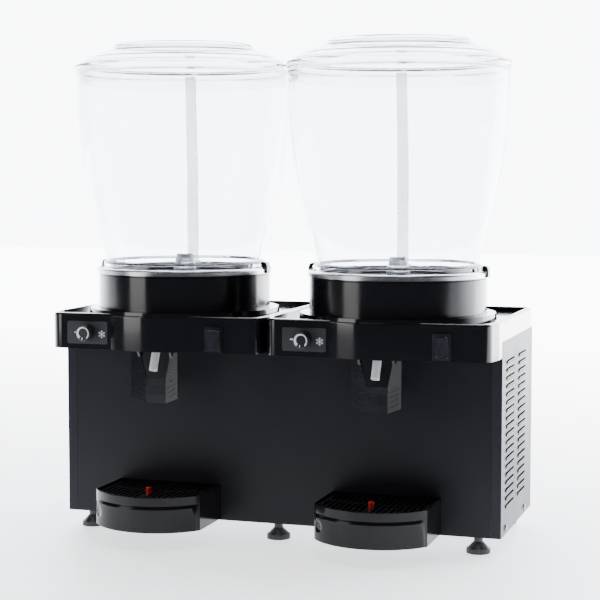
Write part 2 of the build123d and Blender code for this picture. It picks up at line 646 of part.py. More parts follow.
LEDGE_Z = 59.0
tray_outer = tray_plan(0)
tray_inner = tray_plan(2.6)
tray_ledge = tray_plan(1.6)
with BuildPart() as tray:
    with BuildSketch(Plane.XY.offset(TRAY_LOW)):
        add(tray_outer)
    extrude(amount=TRAY_TOP - TRAY_LOW)
    fillet(tray.edges().group_by(Axis.Z)[-1], 0.7)
    with BuildSketch(Plane.XY.offset(TRAY_LOW + 2.6)):
        add(tray_inner)
    extrude(amount=TRAY_TOP, mode=Mode.SUBTRACT)
    with BuildSketch(Plane.XY.offset(LEDGE_Z)):
        add(tray_ledge)
    extrude(amount=TRAY_TOP, mode=Mode.SUBTRACT)
    with BuildSketch(Plane.XZ.offset(-FRONT + 1)):
        with Locations((-TONGUE_X, TONGUE_Z), (TONGUE_X, TONGUE_Z)):
            Rectangle(13, 4)
    extrude(amount=-7)
save_each(tray.part, "drip_tray")

FLOAT_Y, FLOAT_R = FRONT - 68.0, 3.5
SLAT_PITCH, SLOT_W = 7.1, 4.0
grille_outer = tray_plan(2.0)
with BuildPart() as grille:
    with BuildSketch(Plane.XY.offset(LEDGE_Z + 0.1)):
        add(grille_outer)
        for column in range(-8, 9):
            x = column * SLAT_PITCH
            reach = (1 - (x / TRAY_HALF) ** 2) * (TRAY_REACH - TRAY_SIDE) + TRAY_SIDE - 10
            middle = FLOAT_Y + 8 if column == 0 else FRONT - reach / 2 - 2
            for near, far in ((FRONT - 7, middle + 2), (middle - 2, FRONT - reach)):
                if column == 0 and near < FRONT - 20:
                    continue
                with Locations((x, near)):
                    Rectangle(SLOT_W, near - far, align=(Align.CENTER, Align.MAX), mode=Mode.SUBTRACT)
        with Locations((0, FLOAT_Y)):
            Circle(FLOAT_R + 0.05, mode=Mode.SUBTRACT)
    extrude(amount=3.6)
save_each(grille.part, "tray_grille")

with BuildPart() as tray_float:
    with BuildSketch(Plane.XY.offset(27)):
        with Locations((0, FLOAT_Y)):
            Circle(11)
    extrude(amount=9)
    with BuildSketch(Plane.XY.offset(27)):
        with Locations((0, FLOAT_Y)):
            Circle(FLOAT_R)
    extrude(amount=43)
    fillet(tray_float.edges().sort_by(Axis.Z)[-1], 0.8)
save_each(tray_float.part, "tray_float")

# ---------------------------------------------------------------- feet and screws
FOOT_R = 14.5
for row, y in zip(("front", "rear"), FOOT_Y):
    for place, x in zip(("left", "middle", "right"), FOOT_X):
        with BuildPart() as foot:
            with BuildSketch():
                with Locations((x, y)):
                    Circle(FOOT_R)
                    with PolarLocations(FOOT_R + 0.6, 20):
                        Circle(1.4, mode=Mode.SUBTRACT)
            extrude(amount=6)
            with BuildSketch(Plane.XY.offset(6)):
                with Locations((x, y)):
                    Circle(FOOT_R - 1)
            extrude(amount=8, taper=45)
            with BuildSketch(Plane.XY.offset(6)):
                with Locations((x, y)):
                    Circle(5.5)
            extrude(amount=FOOT_H - 6 - 0.1)
            with BuildSketch(Plane.XY.offset(FOOT_H - 1)):
                with Locations((x, y)):
                    Circle(STUD_R)
            extrude(amount=NUT_H)
        save(foot.part, f"foot_{row}_{place}")

with BuildPart() as screws:
    for side in (-1, 1):
        with BuildSketch(Plane.YZ.offset(side * (WIDTH / 2))):
            with Locations(*SIDE_SCREWS):
                Circle(4)
                Rectangle(5, 1, mode=Mode.SUBTRACT)
        extrude(amount=side * 1.6)
        with BuildSketch(Plane.YZ.offset(side * (WIDTH / 2 + 0.4))):
            with Locations(*SIDE_SCREWS):
                Circle(1.9)
        extrude(amount=-side * 8)
    with BuildSketch(Plane.XZ.offset(-REAR_Y - SHEET)):
        with Locations(*REAR_SCREWS):
            Circle(4)
    extrude(amount=-1.6)
    with BuildSketch(Plane.XZ.offset(-REAR_Y - SHEET - 0.4)):
        with Locations(*REAR_SCREWS):
            Circle(1.9)
    extrude(amount=8)
save(screws.part, "case_screws")

# ---------------------------------------------------------------- cooling unit
PAN_FLOOR = FOOT_H + 1.5
PUMP = (-150.0, 62.0)
with BuildPart() as compressor:
    with BuildSketch(Plane(origin=(PUMP[0], PUMP[1], 0), x_dir=(1, 0, 0), z_dir=(0, -1, 0))):
        with BuildLine():
            Polyline(
                (0, 40), (44, 40), (58, 54), (58, 104), (60, 104), (60, 109), (57, 112), (53, 135),
                (43, 154), (26, 167), (0, 172), close=True,
            )
        make_face()
    revolve(axis=Axis((PUMP[0], PUMP[1], 0), (0, 0, 1)))
    with BuildSketch(Plane.XY.offset(38)):
        with Locations(PUMP):
            RectangleRounded(136, 92, 12)
    extrude(amount=3)
    with BuildSketch(Plane.XY.offset(PAN_FLOOR)):
        with Locations(PUMP):
            with GridLocations(112, 70, 2, 2):
                Circle(9)
    extrude(amount=38 - PAN_FLOOR)
save(compressor.part, "compressor")

COOL_X, COOL_Z, COOL_Y = 130.0, 158.0, 112.0
COIL_HALF, CORE = 68.0, 20.0
with BuildPart() as condenser:
    with BuildSketch(Plane.YZ.offset(COOL_X - COIL_HALF)):
        with Locations(*[(COOL_Y + s * 9, COOL_Z + row * 22) for row in (-2, -1, 0, 1, 2) for s in (-1, 1)]):
            Circle(3.5)
    extrude(amount=2 * COIL_HALF)
    for fin in range(18):
        with BuildSketch(Plane.YZ.offset(COOL_X - COIL_HALF + 3 + fin * 7.6)):
            with Locations((COOL_Y, COOL_Z)):
                Rectangle(2 * CORE - 4, 112)
        extrude(amount=0.8)
    for side in (-1, 1):
        with BuildSketch(Plane.YZ.offset(COOL_X + side * (COIL_HALF + 1) - 0.6)):
            with Locations((COOL_Y, PAN_FLOOR)):
                Rectangle(2 * CORE, COOL_Z + 60 - PAN_FLOOR, align=(Align.CENTER, Align.MIN))
        extrude(amount=1.2)
save(condenser.part, "condenser")

SHROUD_Y = COOL_Y - CORE - 1.5
with BuildPart() as shroud:
    with BuildSketch(Plane.XZ.offset(-SHROUD_Y)):
        with Locations((COOL_X, COOL_Z)):
            Rectangle(2 * COIL_HALF + 3, 116)
            Circle(53, mode=Mode.SUBTRACT)
    extrude(amount=-1.2)
    with BuildSketch(Plane.XZ.offset(-SHROUD_Y)):
        with Locations((COOL_X, COOL_Z)):
            Circle(54.2)
            Circle(53, mode=Mode.SUBTRACT)
    extrude(amount=16)
save(shroud.part, "fan_shroud")

MOTOR_Y = SHROUD_Y - 20.0
with BuildPart() as fan_motor:
    with BuildSketch(Plane.XZ.offset(-MOTOR_Y)):
        with Locations((COOL_X, COOL_Z)):
            Circle(22)
    extrude(amount=42)
    with BuildSketch(Plane.XZ.offset(-MOTOR_Y)):
        with Locations((COOL_X, COOL_Z)):
            Circle(3)
    extrude(amount=-15)
    with BuildSketch(Plane.XZ.offset(-MOTOR_Y + 6)):
        with Locations((COOL_X, COOL_Z)):
            Rectangle(10, 2 * 62)
    extrude(amount=1.6)
    for side in (-1, 1):
        with BuildSketch(Plane.XZ.offset(-MOTOR_Y + 7.6)):
            with Locations((COOL_X, COOL_Z + side * 60)):
                Rectangle(10, 4)
        extrude(amount=MOTOR_Y - SHROUD_Y - 7.4)
save(fan_motor.part, "fan_motor")

with BuildPart() as fan:
    with BuildSketch(Plane.XZ.offset(-MOTOR_Y - 2)):
        with Locations((COOL_X, COOL_Z)):
            Circle(14)
    extrude(amount=-12)
    for blade in range(5):
        turn, pitch = radians(72 * blade), radians(28)
        lean = Plane(
            origin=(COOL_X, MOTOR_Y + 8, COOL_Z), x_dir=(cos(turn), 0, sin(turn)),
            z_dir=(-sin(turn) * sin(pitch), -cos(pitch), cos(turn) * sin(pitch)),
        )
        with BuildSketch(lean):
            with Locations((12, 0)):
                Rectangle(38, 20, align=(Align.MIN, Align.CENTER))
        extrude(amount=0.7, both=True)
    with BuildSketch(Plane.XZ.offset(-MOTOR_Y - 1)):
        with Locations((COOL_X, COOL_Z)):
            Circle(3.05)
    extrude(amount=-14, mode=Mode.SUBTRACT)
save(fan.part, "fan_blade")

with BuildPart() as drier:
    with BuildSketch(Plane.XY.offset(90)):
        with Locations((20, 90)):
            Circle(9)
    extrude(amount=80)
    chamfer(drier.edges().group_by(Axis.Z)[-1] + drier.edges().group_by(Axis.Z)[0], 4)
save(drier.part, "filter_drier")

TUBE_R, CAPILLARY_R = 3.0, 1.6
COIL_END = COOL_X - COIL_HALF - 2
COIL_FEED = PITCH / 2 - 97   # where a capillary rises to its evaporator
hot_gas = tube_along([
    (PUMP[0] + 58.2, PUMP[1], 100), (-70, PUMP[1], 100), (-70, PUMP[1], 225), (30, PUMP[1], 225),
    (30, COOL_Y - 9, 225), (30, COOL_Y - 9, 202), (COIL_END, COOL_Y - 9, 202),
], TUBE_R, 8)
liquid = tube_along([
    (COIL_END, COOL_Y + 9, 114), (20, COOL_Y + 9, 114), (20, COOL_Y + 9, 70), (20, 90, 70), (20, 90, 90),
], TUBE_R, 8)
left_capillary = tube_along([
    (20, 90, 170), (20, 90, 240), (-20, 90, 240), (-20, 90, 262),
    (-COIL_FEED, AXIS_Y + 20, 262), (-COIL_FEED, AXIS_Y + 20, 287.8),
], CAPILLARY_R, 4)
right_capillary = tube_along([
    (20, 90, 242), (20, 90, 262), (COIL_FEED, AXIS_Y + 20, 262), (COIL_FEED, AXIS_Y + 20, 287.8),
], CAPILLARY_R, 4)
tubes = (hot_gas, liquid, left_capillary, right_capillary)
save(Compound([solid for tube in tubes for solid in tube.solids()]), "refrigerant_tubes")
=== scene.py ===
import bpy
from math import atan2, cos, pi, radians, sin, sqrt
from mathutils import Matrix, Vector


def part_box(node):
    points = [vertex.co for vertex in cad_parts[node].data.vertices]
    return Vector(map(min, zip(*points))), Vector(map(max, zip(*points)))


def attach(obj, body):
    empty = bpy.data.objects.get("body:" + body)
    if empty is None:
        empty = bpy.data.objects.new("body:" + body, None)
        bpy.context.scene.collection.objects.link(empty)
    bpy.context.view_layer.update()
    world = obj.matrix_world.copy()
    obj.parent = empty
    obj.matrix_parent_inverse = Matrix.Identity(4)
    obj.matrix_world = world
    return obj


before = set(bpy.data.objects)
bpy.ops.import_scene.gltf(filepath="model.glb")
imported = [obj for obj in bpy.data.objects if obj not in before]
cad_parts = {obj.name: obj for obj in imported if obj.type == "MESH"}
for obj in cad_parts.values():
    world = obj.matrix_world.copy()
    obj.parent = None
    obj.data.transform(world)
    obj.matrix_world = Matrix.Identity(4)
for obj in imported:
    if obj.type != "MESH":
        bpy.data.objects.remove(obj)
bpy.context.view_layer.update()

# ---------------------------------------------------------------- cabinet
# Folded sheet steel with a satin black powder coat: a base pan, a front panel, two louvred
# side panels folded onto the front and back, and a set-in rear panel, all screwed together.
MM = 0.001
SIDES = ("left", "right")


class Value:
    """One shader value. Sums and products of values become math nodes."""

    def __init__(self, look, socket):
        self.look = look
        self.socket = socket

    def join(self, operation, first, second):
        return self.look.node("ShaderNodeMath", {"operation": operation}, {0: first, 1: second})

    def __add__(self, other):
        return self.join("ADD", self, other)

    def __radd__(self, other):
        return self.join("ADD", other, self)

    def __sub__(self, other):
        return self.join("SUBTRACT", self, other)

    def __rsub__(self, other):
        return self.join("SUBTRACT", other, self)

    def __mul__(self, other):
        return self.join("MULTIPLY", self, other)

    def __rmul__(self, other):
        return self.join("MULTIPLY", other, self)

    def __pow__(self, other):
        return self.join("POWER", self, other)


class Look:
    """A procedural material with one surface."""

    def __init__(self, name, **fixed):
        self.material = bpy.data.materials.new(name)
        self.material.use_nodes = True
        self.tree = self.material.node_tree
        self.surface = self.tree.nodes["Principled BSDF"]
        for socket, value in fixed.items():
            self.surface.inputs[socket.replace("_", " ")].default_value = value

    def node(self, kind, settings, inputs, output=0):
        made = self.tree.nodes.new(kind)
        for setting, value in settings.items():
            setattr(made, setting, value)
        for socket, value in inputs.items():
            if isinstance(value, Value):
                self.tree.links.new(value.socket, made.inputs[socket])
            else:
                made.inputs[socket].default_value = value
        return Value(self, made.outputs[output])

    def feed(self, socket, value):
        self.tree.links.new(value.socket, self.surface.inputs[socket])

    def place(self, stretch=(1, 1, 1)):
        spot = self.node("ShaderNodeTexCoord", {}, {}, "Object")
        return self.node("ShaderNodeMapping", {}, {"Vector": spot, "Scale": stretch})

    def noise(self, scale, detail=3.0, stretch=(1, 1, 1)):
        inputs = {"Vector": self.place(stretch), "Scale": scale, "Detail": detail}
        return self.node("ShaderNodeTexNoise", {}, inputs, "Fac")

    def spread(self, value, low, high, to_low, to_high):
        return self.node(
            "ShaderNodeMapRange", {"clamp": True},
            {"Value": value, "From Min": low, "From Max": high, "To Min": to_low, "To Max": to_high},
        )

    def blend(self, factor, first, second):
        inputs = {0: factor, 6: (*first, 1), 7: (*second, 1)}
        return self.node("ShaderNodeMix", {"data_type": "RGBA"}, inputs, 2)

    def bump(self, height, depth, strength=1.0):
        return self.node("ShaderNodeBump", {}, {"Height": height, "Distance": depth, "Strength": strength})


def coated(name, colour, rough, grain=900.0, depth=0.00004, wear=0.25, dust=0.02, **fixed):
    """A moulded or painted surface: fine grain, soft roughness clouds, faint dust and scratches."""
    look = Look(name, **fixed)
    clouds = look.noise(14.0, 5.0)
    fine = look.noise(grain, 2.0)
    hairs = look.spread(look.noise(60.0, 6.0, (1, 1, 14)), 0.62, 0.7, 0.0, 1.0)
    specks = look.spread(look.noise(420.0, 4.0), 0.66, 0.74, 0.0, 1.0)
    paler = [min(1.0, c + dust) for c in colour]
    deeper = [c * (1 - wear * 0.5) for c in colour]
    tone = look.spread(clouds, 0.35, 0.68, 0.0, 1.0)
    base = look.node(
        "ShaderNodeMix", {"data_type": "RGBA"},
        {0: specks * 0.35, 6: look.blend(tone, deeper, colour), 7: (*paler, 1)}, 2,
    )
    look.feed("Base Color", base)
    patches = look.spread(clouds, 0.3, 0.7, rough * (1 - wear), rough * (1 + wear))
    look.feed("Roughness", patches + hairs * 0.04)
    look.feed("Normal", look.bump(fine + clouds * 0.4 + hairs * -0.15, depth))
    return look


def paint(look, *nodes):
    for node in nodes:
        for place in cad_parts[node].material_slots:
            place.material = look.material


def both(name):
    return [f"{name}_{side}" for side in SIDES]


front_paint = coated(
    "front panel coat", (0.008, 0.008, 0.011), 0.4, 1500.0, 0.00005, 0.12, 0.006, Specular_IOR_Level=0.2,
)
side_paint = coated(
    "side panel coat", (0.02, 0.02, 0.026), 0.36, 1300.0, 0.00005, 0.1, 0.006, Specular_IOR_Level=0.12,
)
zinc = coated("zinc plated sheet", (0.42, 0.43, 0.45), 0.38, 200.0, 0.00002, 0.3, 0.08, Metallic=0.85)
paint(front_paint, "front_panel")
paint(side_paint, "side_panel_left", "side_panel_right", "rear_panel")
paint(zinc, "base_pan", "case_screws")

# ---------------------------------------------------------------- feet
# Moulded black feet with a fluted grip ring, screwed up into nuts in the base pan by a steel
# stud, so that the cabinet can be levelled.
foot_plastic = coated("foot plastic", (0.012, 0.012, 0.013), 0.32, 700.0, 0.00006)
foot_nodes = [f"foot_{row}_{place}" for row in ("front", "rear") for place in ("left", "middle", "right")]
paint(foot_plastic, *foot_nodes)

# ---------------------------------------------------------------- cooling unit
# A painted compressor on rubber blocks, a finned condenser with its fan behind the rear vents,
# a copper filter drier and brazed copper tubes up to the two evaporators.
paint(coated("compressor enamel", (0.02, 0.02, 0.022), 0.28, 300.0, 0.00008), "compressor")
paint(coated("fan plastic", (0.03, 0.03, 0.034), 0.45), "fan_blade")
paint(coated("motor case", (0.05, 0.05, 0.055), 0.5, 500.0, 0.0001), "fan_motor", "gear_motors")
paint(zinc, "fan_shroud")
fin_metal = coated("fin aluminium", (0.62, 0.63, 0.65), 0.33, 600.0, 0.00003, 0.3, 0.05, Metallic=1.0)
paint(fin_metal, "condenser")
copper = coated("drawn copper", (0.72, 0.36, 0.22), 0.27, 250.0, 0.00003, 0.4, 0.03, Metallic=1.0)
paint(copper, "refrigerant_tubes", "filter_drier", "evaporator_coils")
paint(coated("cable gland nylon", (0.02, 0.02, 0.022), 0.42), "cable_gland")

# ---------------------------------------------------------------- top covers and ring housings
# One gloss black moulding covers each half of the cabinet, with a control box at each side and
# a round front under the bowl; a plain moulded ring stands on it and holds the basin.
gloss_black = coated(
    "gloss black moulding", (0.006, 0.006, 0.008), 0.1, 90.0, 0.000012, 0.35, 0.008,
    Coat_Weight=0.3, Coat_Roughness=0.04,
)
ring_black = coated("ring moulding", (0.007, 0.007, 0.009), 0.16, 120.0, 0.000014, 0.3, 0.012)
paint(gloss_black, *both("top_cover"))
paint(ring_black, *both("ring_housing"))


# ---------------------------------------------------------------- controls
# A textured label plate sits in each left box with a turned black knob on the thermostat's
# shaft; white printed marks show the colder way and a snowflake. The right box has the switch.
def piece(name, points, faces, body, look, smooth=False):
    """A mesh piece in metres that rides on one body."""
    mesh = bpy.data.meshes.new(name)
    mesh.from_pydata([tuple(p) for p in points], [], faces)
    mesh.validate()
    mesh.update()
    made = bpy.data.objects.new(name.replace(" ", "_"), mesh)
    bpy.context.scene.collection.objects.link(made)
    made.data.materials.append(look.material)
    for face in mesh.polygons:
        face.use_smooth = smooth
    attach(made, body)
    return made


def raised(outline, lift):
    """Points and faces of a flat shape in the XZ plane with a chamfered front, its back at y = 0."""
    count = len(outline)
    middle = sum((Vector(p) for p in outline), Vector((0, 0))) / count
    points = [(x, 0, z) for x, z in outline] + [(x, -lift * 0.6, z) for x, z in outline]
    for x, z in outline:
        inward = (middle - Vector((x, z))).normalized() * min(lift * 0.5, 0.0002)
        points.append((x + inward.x, -lift, z + inward.y))
    faces = [tuple(range(2 * count, 3 * count)), tuple(reversed(range(count)))]
    for ring in (0, count):
        for i in range(count):
            j = (i + 1) % count
            faces.append((ring + i, ring + j, ring + count + j, ring + count + i))
    return points, faces


def strip(inner, outer, lift):
    """Points and faces of a raised band between two rows of points in the XZ plane."""
    count = len(inner)
    points, faces = [], []
    for near, far in zip(inner, outer):
        across = Vector((far[0] - near[0], far[1] - near[1])) * 0.12
        points += [
            (near[0], 0, near[1]), (near[0], -lift * 0.6, near[1]),
            (near[0] + across.x, -lift, near[1] + across.y), (far[0] - across.x, -lift, far[1] - across.y),
            (far[0], -lift * 0.6, far[1]), (far[0], 0, far[1]),
        ]
    for i in range(count - 1):
        for k in range(6):
            a, b = 6 * i + k, 6 * i + (k + 1) % 6
            faces.append((a, b, b + 6, a + 6))
    faces += [tuple(range(6)), tuple(reversed(range(6 * count - 6, 6 * count)))]
    return points, faces


def moved(points, x, y, z):
    return [(px + x, py + y, pz + z) for px, py, pz in points]


def bar(length, width, turn, start, ends=4):
    """Outline of a round-ended bar that starts at a distance from the middle, turned by an angle."""
    shape = []
    for end, centre in ((1, start + length), (-1, start)):
        for k in range(ends + 1):
            swing = (k / ends - 0.5) * pi
            shape.append((centre + end * cos(swing) * width / 2, end * sin(swing) * width / 2))
    return [(u * cos(turn) - v * sin(turn), u * sin(turn) + v * cos(turn)) for u, v in shape]


print_white = coated("white print", (0.82, 0.83, 0.86), 0.45, 800.0, 0.00001, 0.2, 0.0)
plate_look = coated("label plate", (0.016, 0.016, 0.021), 0.5, 2600.0, 0.00012, 0.2, 0.03)
knob_plastic = coated("knob plastic", (0.014, 0.014, 0.018), 0.4, 1400.0, 0.00006)
switch_plastic = coated("switch plastic", (0.014, 0.014, 0.018), 0.3, 1200.0, 0.00005)
rocker_plastic = coated("rocker plastic", (0.05, 0.05, 0.065), 0.28, 900.0, 0.00004)
boot_look = coated(
    "clear switch boot", (0.5, 0.53, 0.6), 0.08, 500.0, 0.00003, 0.3, 0.0, Transmission_Weight=0.97, IOR=1.3,
)
paint(plate_look, "dial_plates")
paint(knob_plastic, *both("knob"))
paint(coated("thermostat case", (0.5, 0.48, 0.44), 0.4), "thermostats")
paint(switch_plastic, "switch_housings")
paint(rocker_plastic, *both("rocker"))
paint(boot_look, "switch_boots")

ARC_R = 8.2 * MM
ARC_START, ARC_SWEEP, ARC_STEPS = 232, 280, 48     # degrees, and pieces of the arc
FLUTES = 24
INK = 0.25 * MM
TICK_X, FLAKE_X, FLAKE_DROP = 12.2 * MM, 19.6 * MM, 1.6 * MM

for side in SIDES:
    low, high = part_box(f"knob_{side}")
    knob = Vector(((low[0] + high[0]) / 2, low[1], (low[2] + high[2]) / 2))
    inner, outer = [], []
    for k in range(ARC_STEPS + 1):
        along = k / ARC_STEPS
        turn = radians(ARC_START - ARC_SWEEP * along)
        band = (3.4 - 2.1 * min(1.0, along * 1.5)) * MM
        inner.append(((ARC_R - band) * cos(turn), (ARC_R - band) * sin(turn)))
        outer.append((ARC_R * cos(turn), ARC_R * sin(turn)))
    points, faces = strip(inner, outer, INK)
    piece(f"colder arc {side}", moved(points, *knob), faces, f"knob_{side}_body", print_white)
    points, faces = raised(bar(2.2 * MM, 1.1 * MM, radians(-98), 5.4 * MM), INK)
    piece(f"knob pointer {side}", moved(points, *knob), faces, f"knob_{side}_body", print_white)
    points, faces = [], []
    for k in range(FLUTES):
        turn = k * 2 * pi / FLUTES
        rib, sides = raised(bar(1.0 * MM, 0.5 * MM, turn, 8.9 * MM), 0.3 * MM)
        rib = [(x, y * 9 + 0.3 * MM, z) for x, y, z in rib]
        faces += [tuple(len(points) + i for i in face) for face in sides]
        points += rib
    grip = moved(points, knob.x, high[1] - 0.6 * MM, knob.z)
    piece(f"knob grip {side}", grip, faces, f"knob_{side}_body", knob_plastic)

    plate_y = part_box("dial_plates")[0][1]
    points, faces = raised(bar(4.2 * MM, 1.5 * MM, pi, 0), 0.2 * MM)
    tick = moved(points, knob.x - TICK_X, plate_y, knob.z)
    piece(f"dial tick {side}", tick, faces, "cabinet", print_white)
    points, faces = [], []
    for arm in range(6):
        turn = radians(90 + 60 * arm)
        shapes = [bar(4.5 * MM, 0.85 * MM, turn, 0)]
        for lean in (-1, 1):
            barb = bar(1.4 * MM, 0.6 * MM, turn + lean * radians(48), 0)
            shapes.append([(x + 2.9 * MM * cos(turn), z + 2.9 * MM * sin(turn)) for x, z in barb])
        for shape in shapes:
            made, sides = raised(shape, 0.2 * MM)
            faces += [tuple(len(points) + i for i in face) for face in sides]
            points += made
    flake = moved(points, knob.x + FLAKE_X, plate_y, knob.z - FLAKE_DROP)
    piece(f"snowflake {side}", flake, faces, "cabinet", print_white)

    low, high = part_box(f"rocker_{side}")
    centre = Vector(((low[0] + high[0]) / 2, low[1] + 1.5 * MM, (low[2] + high[2]) / 2))
    # A raised strip of darker plastic down each rocker is painted shade for the rocker's slit; no slit is
    # cut.
    points, faces = raised(bar(7.5 * MM, 1.3 * MM, radians(90), -2.5 * MM), 0.5 * MM)
    painted_slit_shade = moved(points, centre.x, centre.y + 0.2 * MM, centre.z)
    piece(f"rocker slit {side}", painted_slit_shade, faces, f"rocker_{side}_body", knob_plastic)

# ---------------------------------------------------------------- cold basins and their drive
# Pressed stainless basins with a rolled rim and a closed centre post; foam and copper coils wrap
# the wall under the ring, a rubber seal lies in the step, and a gear motor turns a magnet.
def turned_steel(name, centre):
    """Stainless steel with fine turning marks that run round an upright axis."""
    look = Look(name, Metallic=1.0)
    spot = look.place()
    parts = look.node("ShaderNodeSeparateXYZ", {}, {"Vector": spot}, 0)
    tall = Value(look, parts.socket.node.outputs[2])
    across = parts - centre.x
    along = Value(look, parts.socket.node.outputs[1]) - centre.y
    radius = (across * across + along * along) ** 0.5
    rings = look.node("ShaderNodeCombineXYZ", {}, {0: radius * 900.0, 1: tall * 900.0, 2: 0.0})
    marks = look.node("ShaderNodeTexNoise", {}, {"Vector": rings, "Scale": 1.0, "Detail": 4.0}, "Fac")
    clouds = look.noise(20.0, 4.0)
    look.feed("Base Color", look.blend(marks, (0.54, 0.54, 0.56), (0.68, 0.68, 0.7)))
    look.feed("Roughness", look.spread(marks + clouds, 0.7, 1.3, 0.2, 0.34))
    look.feed("Normal", look.bump(marks, 0.00002))
    return look


rubber = coated("seal rubber", (0.045, 0.045, 0.05), 0.62, 500.0, 0.00008)
clip_plastic = coated("clip plastic", (0.02, 0.02, 0.026), 0.24, 600.0, 0.00003)
paint(rubber, "bowl_seals")
paint(clip_plastic, "bowl_clips")
paint(coated("foam", (0.55, 0.5, 0.36), 0.8, 260.0, 0.0006, 0.3, 0.05), "basin_insulation")
paint(coated("ferrite", (0.1, 0.1, 0.11), 0.5, 400.0, 0.0001), *both("drive_magnet"))
axes = {}
for side in SIDES:
    low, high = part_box(f"basin_{side}")
    axes[side] = Vector(((low[0] + high[0]) / 2, (low[1] + high[1]) / 2, 0))
    paint(turned_steel(f"turned stainless {side}", axes[side]), f"basin_{side}")


# ---------------------------------------------------------------- bowls, lids and mixers
# Clear moulded bowls stand in the basin's step and turn under two clips; clear domed lids drop
# inside their rims. A translucent mixer stands over the post, with one tall flat blade.
def clear(name, colour, rough, ior, **fixed):
    """Clear moulded plastic with faint flow lines, wipe marks and a few fine scratches."""
    look = Look(name, Transmission_Weight=1.0, IOR=ior, Base_Color=(*colour, 1), **fixed)
    flow = look.noise(9.0, 3.0, (1, 1, 0.35))
    wipes = look.noise(26.0, 5.0, (1, 1, 0.2))
    hairs = look.spread(look.noise(110.0, 6.0, (1, 1, 9)), 0.66, 0.72, 0.0, 1.0)
    look.feed("Roughness", look.spread(wipes, 0.4, 0.7, rough, rough * 2.2) + hairs * 0.03)
    look.feed("Normal", look.bump(flow + hairs * 0.02, 0.0007, 0.6))
    return look


bowl_clear = clear("clear bowl", (0.93, 0.945, 0.965), 0.012, 1.42)
lid_clear = clear("clear lid", (0.91, 0.925, 0.945), 0.015, 1.46)
mixer_clear = coated(
    "translucent mixer", (0.84, 0.87, 0.92), 0.2, 400.0, 0.00004, 0.2, 0.0,
    Transmission_Weight=0.72, IOR=1.36,
)
paint(bowl_clear, *both("bowl"))
paint(lid_clear, *both("lid"))
paint(mixer_clear, *both("stirrer"))


def lathe(profile, centre, start=0.0, sweep=2 * pi, steps=96):
    """Points and faces of a closed (radius, height) profile turned about an upright axis."""
    closed = sweep > 2 * pi - 1e-6
    rows = steps if closed else steps + 1
    points, faces = [], []
    for k in range(rows):
        turn = start + sweep * k / steps
        points += [(centre.x + r * cos(turn), centre.y + r * sin(turn), z) for r, z in profile]
    count = len(profile)
    for k in range(steps):
        here, there = k * count, ((k + 1) % rows) * count
        for i in range(count):
            j = (i + 1) % count
            faces.append((here + i, there + i, there + j, here + j))
    if not closed:
        faces += [tuple(range(count)), tuple(reversed(range(steps * count, rows * count)))]
    return points, faces


def bead(radius, height, thick, tall):
    """A small round-backed ring profile that stands out from a wall."""
    arc = [radians(a) for a in range(-90, 91, 30)]
    back = [(radius + thick * cos(a), height + tall / 2 * sin(a)) for a in arc]
    return [(radius, height - tall / 2), *back, (radius, height + tall / 2)]


NECK_R = 100.4 * MM
FOOT_R = 104.2 * MM
CROWN_R = 87.5 * MM
LUG_SWEEP = 28

for side in SIDES:
    middle = axes[side]
    low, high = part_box(f"bowl_{side}")
    for name, radius, height, thick, tall in (
        ("rim bead", high[0] - middle.x - 0.3 * MM, high[2] - 3.2 * MM, 1.1 * MM, 3.0 * MM),
        ("neck bead", NECK_R, low[2] + 13.4 * MM, 1.6 * MM, 2.4 * MM),
    ):
        points, faces = lathe(bead(radius, height, thick, tall), middle)
        piece(f"bowl {name} {side}", points, faces, f"bowl_{side}_body", bowl_clear, True)
    for k, start in enumerate((-LUG_SWEEP / 2, 180 - LUG_SWEEP / 2)):
        lug = [
            (NECK_R + 0.1 * MM, low[2] + 8 * MM), (FOOT_R - 0.3 * MM, low[2] + 8.4 * MM),
            (FOOT_R, low[2] + 12 * MM), (FOOT_R - 1.0 * MM, low[2] + 13 * MM),
            (NECK_R + 0.1 * MM, low[2] + 12.6 * MM),
        ]
        points, faces = lathe(lug, middle, radians(start), radians(LUG_SWEEP), 16)
        piece(f"bowl lug {k} {side}", points, faces, f"bowl_{side}_body", bowl_clear)
    low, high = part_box(f"lid_{side}")
    rim = high[0] - middle.x
    for name, radius, height in (
        ("lid edge bead", rim - 7.5 * MM, low[2] + 26 * MM),
        ("lid crown bead", CROWN_R, high[2] - 4.6 * MM),
    ):
        points, faces = lathe(bead(radius, height, 1.2 * MM, 1.8 * MM), middle)
        piece(f"{name} {side}", points, faces, f"lid_{side}_body", lid_clear, True)

# ---------------------------------------------------------------- taps and push levers
# A white moulded tap hangs under each basin with a fluted plunger inside; the black lever is a
# shallow dished pad on two arms and a steel pin, with cast grip ribs, that a cup pushes back.
white_tap = coated("white acetal", (0.8, 0.8, 0.8), 0.3, 400.0, 0.00003, 0.2, 0.0, Subsurface_Weight=0.1)
lever_black = coated("lever moulding", (0.010, 0.010, 0.013), 0.26, 800.0, 0.00006, 0.2, 0.02)
steel = coated("pin steel", (0.6, 0.6, 0.62), 0.25, 300.0, 0.00001, 0.2, 0.0, Metallic=1.0)
paint(white_tap, "tap_bodies", *both("tap_plunger"))
paint(lever_black, *both("tap_lever"))
paint(steel, "lever_pins")


def rib(start, end, outward, width, lift):
    """Points and faces of one cast rib between two points on a face."""
    along = (end - start).normalized()
    across = along.cross(outward).normalized() * width / 2
    points = []
    for spot, inset in ((start, 1), (end, -1)):
        crest = spot + outward * lift + along * inset * lift * 0.5
        points += [spot - across, crest - across * 0.6, crest + across * 0.6, spot + across]
    return points, [(0, 1, 2, 3), (7, 6, 5, 4), (0, 4, 5, 1), (1, 5, 6, 2), (2, 6, 7, 3), (3, 7, 4, 0)]


FACET_HALF = 13 * MM
WING = (17.6, 5.0)      # how far a side facet runs across and forwards
SPOUT_TO_PAD = 16 * MM
ahead = Vector((0, -1, 0))

